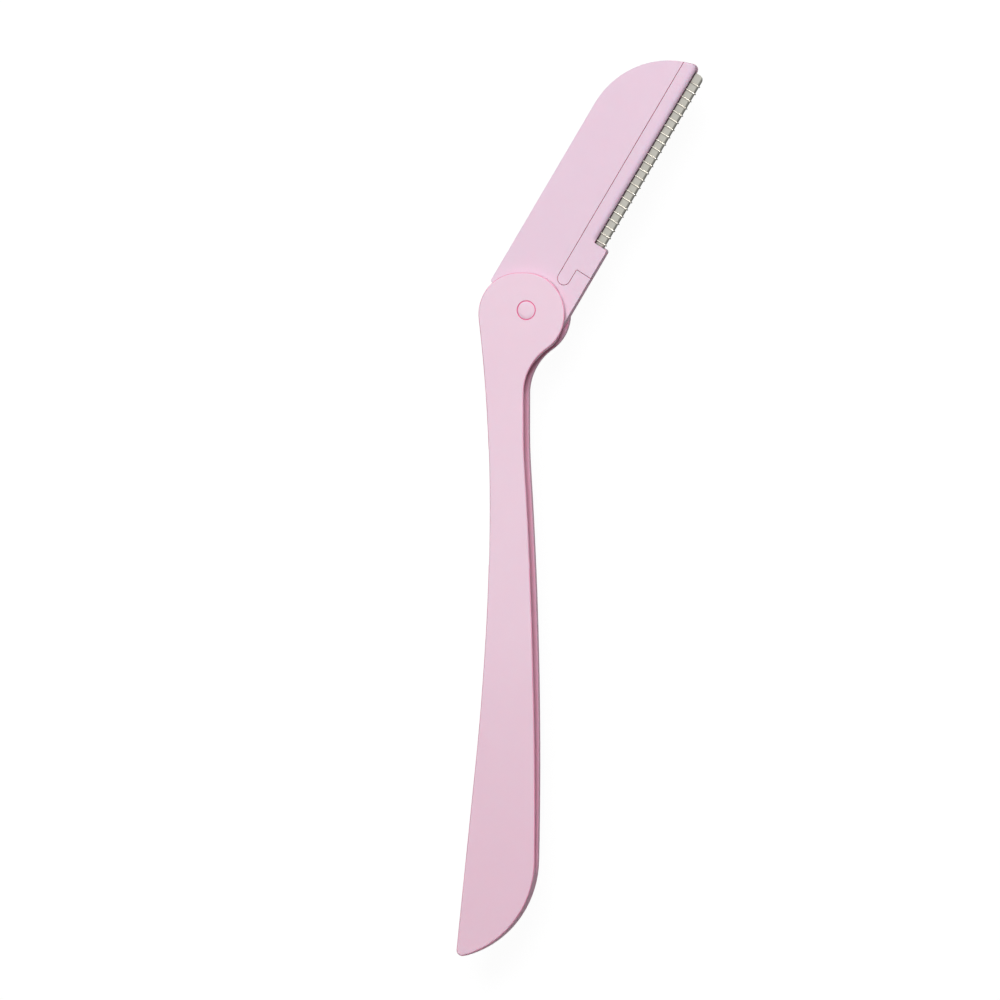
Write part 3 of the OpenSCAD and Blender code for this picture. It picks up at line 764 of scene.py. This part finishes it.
def blade():
    """The blade, with one round corner, a bevel ground on both sides and its two holes."""
    corner = Vector((BLADE_EDGE - BLADE_CORNER_R, BLADE_TOP - BLADE_CORNER_R))
    points = [Vector((BLADE_BACK, BLADE_LOW)), Vector((BLADE_EDGE, BLADE_LOW))]
    points += arc(corner, BLADE_CORNER_R, 0, 90, QUARTER_STEPS)
    points += [Vector((BLADE_BACK, BLADE_TOP))]
    half = BLADE_T / 2
    bm = prism(points, BLADE_MID - half, BLADE_MID + half)
    start = BLADE_EDGE - GRIND_W
    split(bm, (start, 0, 0), (1, 0, 0))
    for v in bm.verts:
        share = max(0, v.co.x - start) / GRIND_W
        v.co.z = BLADE_MID + (v.co.z - BLADE_MID) * (1 - share * (1 - EDGE_LAND / half))
    piece = solid("blade_steel_strip", bm)
    hole_r = CLAMP_PEG_R + CLAMP_PEG_PLAY
    joined(piece, "DIFFERENCE", [disc(p, hole_r, BLADE_MID - BLADE_T, BLADE_MID + BLADE_T)
                                 for p in clamp_pegs])
    return finished(piece, BLADE_ROUND, 1, -OPEN_ANGLE)


def guard_wire():
    """The winding: over the front, round the edge, back behind and round the back, turn by turn."""
    run = WIRE_FRONT - WIRE_BACK
    bend = math.pi * BEND_R
    climb_len = run + 2 * bend
    turn_steps = 2 * (WIRE_RUN_STEPS + WIRE_BEND_STEPS)

    def station(k):
        """Place across the blade, height and length climbed at step k of a turn."""
        if k <= WIRE_RUN_STEPS:
            return WIRE_BACK + run * k / WIRE_RUN_STEPS, BEND_R, 0
        k -= WIRE_RUN_STEPS
        if k <= WIRE_BEND_STEPS:
            angle = math.pi * k / WIRE_BEND_STEPS
            return WIRE_FRONT + BEND_R * math.sin(angle), BEND_R * math.cos(angle), BEND_R * angle
        k -= WIRE_BEND_STEPS
        if k <= WIRE_RUN_STEPS:
            gone = run * k / WIRE_RUN_STEPS
            return WIRE_FRONT - gone, -BEND_R, bend + gone
        k -= WIRE_RUN_STEPS
        angle = math.pi * k / WIRE_BEND_STEPS
        climbed = bend + run + BEND_R * angle
        return WIRE_BACK - BEND_R * math.sin(angle), -BEND_R * math.cos(angle), climbed

    curve = bpy.data.curves.new("guard_wire_path", "CURVE")
    curve.dimensions = "3D"
    curve.bevel_depth = WIRE_R
    curve.bevel_resolution = WIRE_SIDE_STEPS
    curve.use_fill_caps = True
    line = curve.splines.new("POLY")
    count = TURNS * turn_steps - WIRE_BEND_STEPS + 1
    line.points.add(count - 1)
    for i in range(count):
        across, height, climbed = station(i % turn_steps)
        along = WIRE_TOP - WIRE_PITCH * (i // turn_steps + eased(climbed / climb_len))
        line.points[i].co = (across, along, BLADE_MID + height, 1)
    path = bpy.data.objects.new("guard_wire_path", curve)
    bpy.context.scene.collection.objects.link(path)
    graph = bpy.context.evaluated_depsgraph_get()
    mesh = bpy.data.meshes.new_from_object(path.evaluated_get(graph))
    bpy.data.objects.remove(path)
    mesh.materials.clear()
    piece = bpy.data.objects.new("guard_wire_winding", mesh)
    bpy.context.scene.collection.objects.link(piece)
    return finished(piece, turn=-OPEN_ANGLE)


class Value:
    """A number or colour inside a material. Python's operators on it add Math nodes."""

    def __init__(self, finish, socket):
        self.finish = finish
        self.socket = socket

    def math(self, operation, first, second):
        return self.finish.node("ShaderNodeMath", {"operation": operation}, {0: first, 1: second})

    def __add__(self, other):
        return self.math("ADD", self, other)

    def __radd__(self, other):
        return self.math("ADD", other, self)

    def __rsub__(self, other):
        return self.math("SUBTRACT", other, self)

    def __mul__(self, other):
        return self.math("MULTIPLY", self, other)

    def __rmul__(self, other):
        return self.math("MULTIPLY", other, self)

    def __truediv__(self, other):
        return self.math("DIVIDE", self, other)

    def __gt__(self, other):
        return self.math("GREATER_THAN", self, other)

    def __lt__(self, other):
        return self.math("LESS_THAN", self, other)


class Finish:
    """A material or the world, built node by node."""

    def __init__(self, name, world=False):
        self.data = (bpy.data.worlds if world else bpy.data.materials).new(name)
        self.data.use_nodes = True
        self.tree = self.data.node_tree
        self.tree.nodes.clear()

    def node(self, kind, settings=None, inputs=None, output=0):
        """Adds a node with its settings and sockets' values or links, and gives one output."""
        made = self.tree.nodes.new(kind)
        for name, setting in (settings or {}).items():
            setattr(made, name, setting)
        for name, value in (inputs or {}).items():
            if isinstance(value, Value):
                self.tree.links.new(value.socket, made.inputs[name])
            else:
                made.inputs[name].default_value = value
        return Value(self, made.outputs[output]) if made.outputs else None

    def place(self, scale=(1, 1, 1), turn=0):
        """Object coordinates, turned about Z and scaled."""
        at = self.node("ShaderNodeTexCoord", output="Object")
        return self.node("ShaderNodeMapping", {"vector_type": "POINT"},
                         {"Vector": at, "Rotation": (0, 0, math.radians(turn)), "Scale": scale})

    def axis(self, name, turn=0):
        """Where a place is along X, Y or Z, in metres, once turned about Z."""
        return self.node("ShaderNodeSeparateXYZ", None, {0: self.place(turn=turn)}, output=name)

    def noise(self, at, scale, detail=2.0, roughness=0.5):
        """Soft noise from 0 to 1."""
        return self.node("ShaderNodeTexNoise", None,
                         {"Vector": at, "Scale": scale, "Detail": detail, "Roughness": roughness})

    def ramp(self, value, start, end, course="LINEAR"):
        """How far a place has come from start to end, both in millimetres, from 0 to 1."""
        return self.node("ShaderNodeMapRange", {"interpolation_type": course},
                         {"Value": value, "From Min": start * MM, "From Max": end * MM})

    def mix(self, share, first, second):
        """A colour between two colours."""
        first, second = (c if isinstance(c, Value) else (*c, 1) for c in (first, second))
        return self.node("ShaderNodeMix", {"data_type": "RGBA"},
                         {"Factor": share, 6: first, 7: second}, output=2)

    def bump(self, height, strength, depth):
        """A fine relief, with its depth in millimetres."""
        return self.node("ShaderNodeBump", None,
                         {"Strength": strength, "Distance": depth * MM, "Height": height})

    def plain_view(self):
        """1 for rays from the camera, off gloss or through clear matter, and 0 for the rest."""
        camera, glossy, through = (self.node("ShaderNodeLightPath", output=f"Is {ray} Ray")
                                   for ray in ("Camera", "Glossy", "Transmission"))
        return camera + glossy + through

    def surface(self, **sockets):
        """Ends the material with a Principled shader."""
        inputs = {name.replace("_", " "): value for name, value in sockets.items()}
        return self.end(self.node("ShaderNodeBsdfPrincipled", None, inputs))

    def end(self, shader, kind="ShaderNodeOutputMaterial"):
        """Makes a shader the last one, and gives the material or world."""
        self.node(kind, None, {"Surface": shader})
        return self.data


def darker(colour, share):
    """A share of a colour."""
    return tuple(part * share for part in colour)


def moulded_plastic(name, colour, deep, lip=False):
    """Satin plastic: a fine grain, slow changes of gloss, a slight mottle, and painted shade: deep
    pink in gaps, deeper towards the tail, and on the clamp a lilac and a dark shade by the lip.
    """
    finish = Finish(name)
    at = finish.place()
    grain = finish.noise(at, GRAIN_SCALE, detail=2, roughness=0.6)
    flow = finish.noise(at, FLOW_SCALE, detail=3, roughness=0.55)
    drift = finish.noise(at, DRIFT_SCALE)
    # Painted shade: each face keeps how much deep pink stands in for shade there
    painted_shade = finish.node("ShaderNodeAttribute", {"attribute_name": "painted_shade"}, output="Fac")
    # Painted shade: the pink deepens towards the tail
    tail = finish.ramp(finish.axis("Y"), TAIL_SHADE_FROM, TAIL_SHADE_TO, "SMOOTHSTEP")
    body = finish.mix(FLOW_SHARE * flow + (1 - FLOW_SHARE) * drift, colour, deep)
    base = finish.mix(painted_shade, finish.mix(tail, body, TAIL_SHADE_PINK), PAINTED_SHADE_PINK)
    if lip:
        # Painted shade on the clamp's shoulder above the heel: a lilac on its middle and a dark
        # shade towards the lip's edge
        across = finish.axis("X", OPEN_ANGLE)
        above = finish.ramp(finish.axis("Y", OPEN_ANGLE), HEEL_TOP, HEEL_TOP + LIP_SHADE_W)
        above = above * (finish.axis("Z", OPEN_ANGLE) > BLADE_MID * MM)
        shoulder_shade = finish.ramp(across, SHOULDER_SHADE_FROM, COVER_EDGE - LIP_SHADE_W)
        base = finish.mix(SHOULDER_SHADE_SHARE * above * shoulder_shade, base, SHOULDER_SHADE_LILAC)
        near = finish.ramp(across, COVER_EDGE - LIP_SHADE_W, COVER_EDGE)
        base = finish.mix(LIP_SHADE * above * near * near, base, SHADE_PINK)
    return finish.surface(
        Base_Color=base, Roughness=PLASTIC_ROUGH + FLOW_ROUGH * flow + GRAIN_ROUGH * grain,
        Normal=finish.bump(grain, GRAIN_BUMP, GRAIN_DEPTH),
        IOR=PLASTIC_IOR, Specular_IOR_Level=PLASTIC_SPECULAR, Subsurface_Weight=SCATTER_SHARE,
        Subsurface_Radius=SCATTER_REACH, Subsurface_Scale=SCATTER_DEPTH * MM)


def ground_steel(name, colour):
    """Blade steel: fine rolling lines, a smoother bevel, and painted shadow beside the clamp's lip
    and just below each turn of the wire.
    """
    finish = Finish(name)
    lines = finish.noise(finish.place(LINE_SCALE, OPEN_ANGLE), 1, roughness=0.6)
    cloud = finish.noise(finish.place(), CLOUD_SCALE)
    across = finish.axis("X", OPEN_ANGLE)
    along = finish.axis("Y", OPEN_ANGLE)
    ground = across > (BLADE_EDGE - GRIND_W) * MM
    keen = finish.ramp(across, BLADE_EDGE - GRIND_W, BLADE_EDGE - GRIND_W / 3)
    # Painted shadow: the steel goes dark just beside the clamp's lip
    lip_shadow = finish.ramp(across, COVER_EDGE + LIP_SHADOW_FROM, COVER_EDGE + LIP_SHADOW_FULL)
    # Painted shadow: a dark band on the blade's front just below each turn of the wire
    turns = (WIRE_TOP * MM - along) / (WIRE_PITCH * MM)
    since = finish.node("ShaderNodeMath", {"operation": "FRACT"}, {0: turns})
    in_front = (finish.axis("Z") > BLADE_MID * MM) * (along < WIRE_TOP * MM)
    turn_shadow = (since > TURN_SHADE_FROM) * (since < TURN_SHADE_TO) * in_front * TURN_SHADE_SHARE
    grey = LINE_SHARE * lines + (1 - LINE_SHARE) * cloud
    body = finish.mix(grey, colour, darker(colour, STEEL_DEEP))
    body = finish.mix(turn_shadow, body, darker(colour, TURN_SHADE_DEEP))
    bevel = finish.mix(keen, darker(colour, GROUND_PALE), darker(colour, GROUND_DARK))
    base = finish.mix(lip_shadow, finish.mix(ground, body, bevel), LIP_SHADOW_STEEL)
    return finish.surface(
        Base_Color=base, Metallic=1.0, Normal=finish.bump(lines, LINE_BUMP, LINE_DEPTH),
        Roughness=STEEL_ROUGH - GROUND_GLOSS * ground + CLOUD_ROUGH * cloud)


def drawn_wire(name, colour):
    """Bright drawn wire with faint die lines, and painted shade where it goes round the edge."""
    finish = Finish(name)
    streak = finish.noise(finish.place(STREAK_SCALE, OPEN_ANGLE), 1)
    # Painted shade: the wire goes dark where it bends round the blade's edge
    bend = finish.ramp(finish.axis("X", OPEN_ANGLE),
                       BLADE_EDGE - BEND_SHADE_IN, BLADE_EDGE + BEND_SHADE_OUT)
    body = finish.mix(streak, colour, darker(colour, STREAK_DEEP))
    base = finish.mix(bend, body, darker(colour, BEND_SHADE_DEEP))
    return finish.surface(Base_Color=base, Metallic=1.0,
                          Roughness=WIRE_ROUGH + STREAK_ROUGH * streak)


def dressed(piece, material, body, node):
    """Gives a piece its material and its body, and hides the CAD part that it stands for."""
    piece.data.materials.clear()
    piece.data.materials.append(material)
    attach(piece, body)
    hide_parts(node)


handle_plastic = moulded_plastic("handle_plastic", HANDLE_PINK, HANDLE_DEEP)
pin_plastic = moulded_plastic("pin_plastic", HANDLE_PINK, HANDLE_DEEP)
head_plastic = moulded_plastic("head_plastic", HEAD_PINK, HEAD_DEEP)
clamp_plastic = moulded_plastic("clamp_plastic", HEAD_PINK, HEAD_DEEP, lip=True)
blade_steel = ground_steel("blade_steel", STEEL)
wire_steel = drawn_wire("wire_steel", WIRE_STEEL)

dressed(rear_scale(), handle_plastic, "handle", "handle_rear_scale")
dressed(front_scale(), handle_plastic, "handle", "handle_front_scale")
dressed(pivot_pin(), pin_plastic, "handle", "pivot_pin")
dressed(head_body(), head_plastic, "head", "head_body")
dressed(blade_clamp(), clamp_plastic, "head", "blade_clamp")
dressed(blade(), blade_steel, "head", "blade")
dressed(guard_wire(), wire_steel, "head", "guard_wire")

# The camera is turned about the razor's long axis towards the slot
yaw = math.radians(YAW)
right = Vector((math.cos(yaw), 0, -math.sin(yaw)))
up = Vector((0, 1, 0))
towards = Vector((math.sin(yaw), 0, math.cos(yaw)))
middle = PHOTO_SIDE / 2
aim = Vector((0, 0, HANDLE_T))
aim += right * (middle - PIVOT_PIXEL[0]) * PIXEL_MM + up * (PIVOT_PIXEL[1] - middle) * PIXEL_MM
lens = bpy.data.cameras.new("camera")
lens.lens = SENSOR_MM * CAMERA_MM / (PHOTO_SIDE * PIXEL_MM)
lens.sensor_width = SENSOR_MM
lens.clip_start = CLIP_NEAR
lens.clip_end = CLIP_FAR
camera = bpy.data.objects.new("camera", lens)
camera.matrix_world = Matrix((
    (right.x, up.x, towards.x, (aim.x + CAMERA_MM * towards.x) * MM),
    (right.y, up.y, towards.y, (aim.y + CAMERA_MM * towards.y) * MM),
    (right.z, up.z, towards.z, (aim.z + CAMERA_MM * towards.z) * MM),
    (0, 0, 0, 1)))
bpy.context.scene.collection.objects.link(camera)
bpy.context.scene.camera = camera


def lamp(name, place, size, watts, glints):
    """A square soft light that lights the surfaces, or only glints in their gloss."""
    light = bpy.data.lights.new(name, "AREA")
    light.shape = "SQUARE"
    light.size = size
    light.energy = watts
    holder = bpy.data.objects.new(name, light)
    holder.location = place
    way = Vector(LAMP_AIM) - Vector(place)
    holder.rotation_mode = "QUATERNION"
    holder.rotation_quaternion = way.to_track_quat("-Z", "Y")
    holder.visible_camera = False
    holder.visible_glossy = glints
    holder.visible_diffuse = not glints
    bpy.context.scene.collection.objects.link(holder)


lamp("key_light", place=(0.12, 0.38, 0.89), size=0.5, watts=9.2, glints=False)
lamp("glint_light", place=(0.50, 0.65, 0.65), size=0.35, watts=6.0, glints=True)

# The world is dim to the surfaces and white to the eye
sky = Finish("studio", world=True)
way = sky.node("ShaderNodeTexCoord", output="Generated")
height = sky.node("ShaderNodeSeparateXYZ", None, {0: way}, output="Z")
rise = sky.node("ShaderNodeMapRange", {"interpolation_type": "SMOOTHSTEP"},
                {"Value": height, "To Min": HORIZON, "To Max": ZENITH})
dim = sky.node("ShaderNodeBackground", None, {"Strength": rise})
white = sky.node("ShaderNodeBackground", None, {"Color": WHITE})
mixed = sky.node("ShaderNodeMixShader", None, {0: sky.plain_view(), 1: dim, 2: white})
bpy.context.scene.world = sky.end(mixed, "ShaderNodeOutputWorld")

# The floor keeps the razor's shadow, and is clear from below
floor_bm = bmesh.new()
bmesh.ops.create_grid(floor_bm, x_segments=1, y_segments=1, size=FLOOR_HALF)
bmesh.ops.translate(floor_bm, verts=floor_bm.verts, vec=(0, 0, -FLOOR_DROP * MM))
floor = solid("studio_floor", floor_bm)
floor_finish = Finish("studio_floor")
seen = floor_finish.plain_view()
under = floor_finish.node("ShaderNodeNewGeometry", output="Backfacing")
pale = floor_finish.node("ShaderNodeBsdfDiffuse", None, {"Color": FLOOR_DIM + FLOOR_PALE * seen})
glow = floor_finish.node("ShaderNodeEmission", None, {"Color": WHITE, "Strength": FLOOR_GLOW})
clear = floor_finish.node("ShaderNodeBsdfTransparent")
top = floor_finish.node("ShaderNodeMixShader", None, {0: FLOOR_SHARE * seen, 1: pale, 2: glow})
mixed = floor_finish.node("ShaderNodeMixShader", None, {0: under, 1: top, 2: clear})
floor.data.materials.append(floor_finish.end(mixed))

bpy.context.scene.view_settings.view_transform = "Standard"
